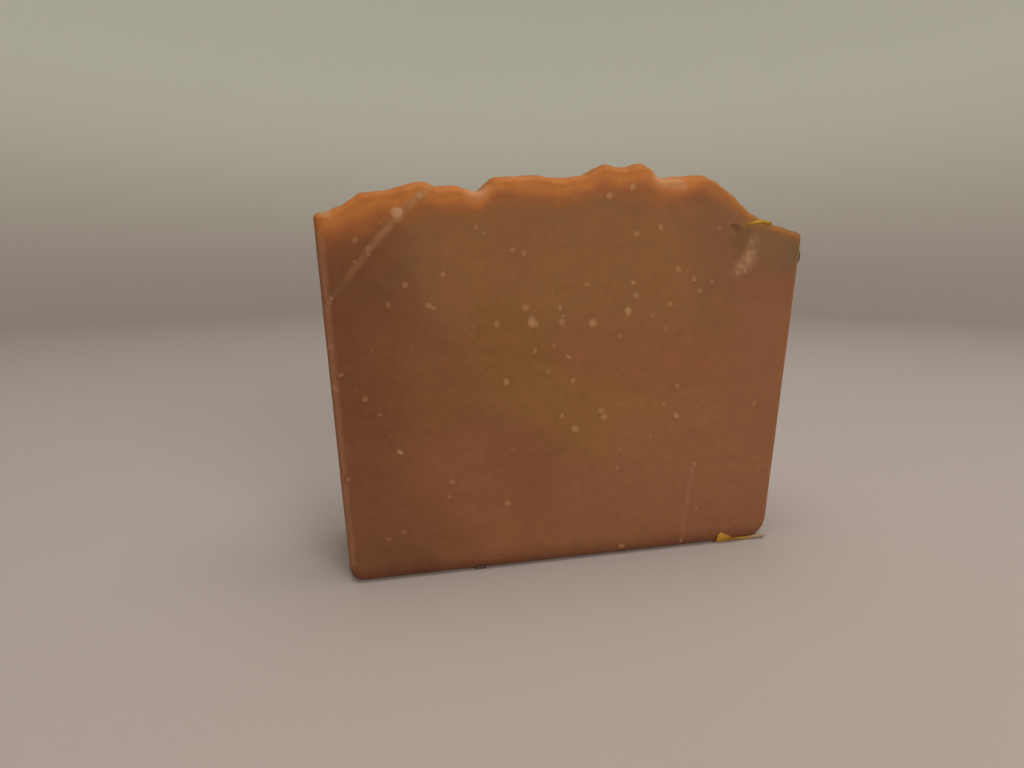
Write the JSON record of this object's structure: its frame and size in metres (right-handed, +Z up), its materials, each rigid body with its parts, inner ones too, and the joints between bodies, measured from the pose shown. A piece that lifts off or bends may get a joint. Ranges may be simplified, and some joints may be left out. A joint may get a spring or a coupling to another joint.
{
  "type": "bar of soap",
  "caption": "Cut slice of hand-made soap with a wavy crust top, soft cut edges, a smeared ridge and dried petals pressed in, standing on its long edge.",
  "frame": {"origin": "middle of the foot, on the surface that the bar stands on", "axes": "+X along the width to the viewer's right, +Y through the thickness from the pictured cut face to the back, +Z up to the crust"},
  "size_m": [0.0891, 0.0245, 0.0738],
  "materials": {
    "soap": "waxy satin, mottled terracotta brown",
    "petal": "dried petal, golden yellow, matt",
    "leaf": "dried leaf, dark olive, matt",
    "stalk": "dried stalk, dark brown, matt"
  },
  "bodies": {
    "root": {"soap_bar": "soap", "upper_petal": "petal", "lower_petal": "petal", "leaf_fleck": "leaf", "stalk_fleck": "stalk"}
  },
  "joints": []
}
